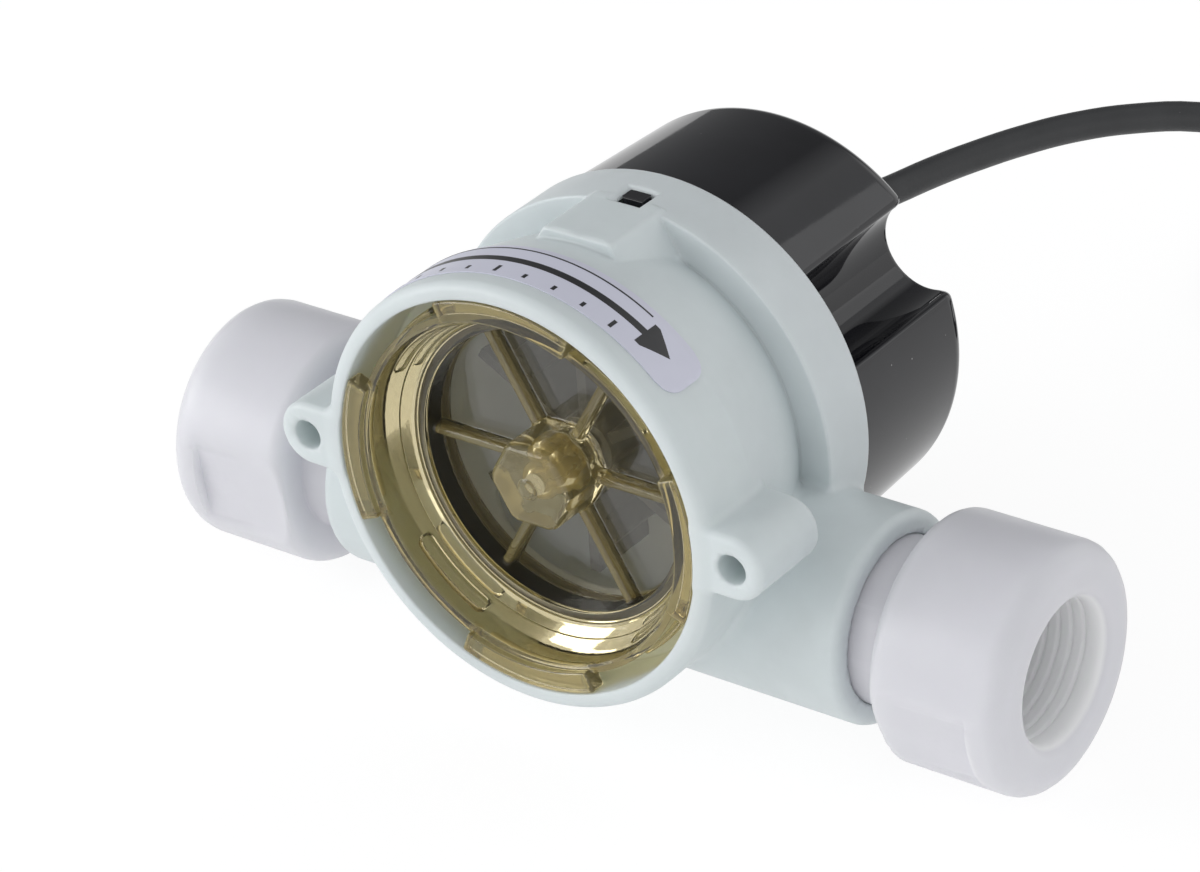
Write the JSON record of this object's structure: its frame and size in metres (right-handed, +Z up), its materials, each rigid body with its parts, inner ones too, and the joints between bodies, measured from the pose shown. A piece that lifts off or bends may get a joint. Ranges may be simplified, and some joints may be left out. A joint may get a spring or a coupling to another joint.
{
  "type": "water flow sensor",
  "caption": "In-line paddle wheel water flow sensor with a clear smoked window, female pipe adapters, mounting ears and a rear cable lead.",
  "frame": {"origin": "middle of the sensor without its cable, on the surface that the two pipe adapters stand on", "axes": "+X along the pipe from inlet to outlet, +Y back along the rotor's axis towards the cable, +Z up"},
  "size_m": [0.137, 0.189, 0.0635],
  "materials": {
    "body_plastic": "satin",
    "smoked_clear": "polished, clear",
    "seal_rubber": "matte",
    "rotor_plastic": "satin",
    "bush_plastic": "satin",
    "magnet_ferrite": "matte",
    "shaft_steel": "ground",
    "washer_plastic": "satin",
    "adapter_plastic": "satin",
    "cover_plastic": "gloss",
    "board_laminate": "satin",
    "screw_steel": "plated",
    "chip_black": "satin",
    "capacitor_can": "satin",
    "resistor_ceramic": "satin",
    "inner_wire": "satin",
    "relief_rubber": "satin",
    "label_film": "satin",
    "cable_jacket": "satin",
    "wire_red": "satin",
    "wire_black": "satin",
    "wire_white": "satin"
  },
  "bodies": {
    "housing": {"body": "body_plastic", "lens": "smoked_clear", "lens_seal": "seal_rubber", "rotor_shaft": "shaft_steel", "front_washer": "washer_plastic", "rear_washer": "washer_plastic", "inlet_adapter": "adapter_plastic", "outlet_adapter": "adapter_plastic", "inlet_seal": "seal_rubber", "outlet_seal": "seal_rubber", "rear_cover": "cover_plastic", "circuit_board": "board_laminate", "board_screws": "screw_steel", "hall_sensor": "chip_black", "regulator": "chip_black", "capacitor": "capacitor_can", "resistors": "resistor_ceramic", "inner_wires": "inner_wire", "strain_relief": "relief_rubber", "label": "label_film", "cable_lead": "cable_jacket", "cable_coil": "cable_jacket", "wire_red": "wire_red", "wire_black": "wire_black", "wire_white": "wire_white"},
    "rotor": {"rotor": "rotor_plastic", "rotor_bush": "bush_plastic", "rotor_magnets": "magnet_ferrite"}
  },
  "joints": [
    {"name": "rotor_spin", "type": "hinge", "parent": "housing", "child": "rotor", "pos_m": [0, 0, 0.0339], "axis": [0, 1, 0], "continuous": true}
  ]
}
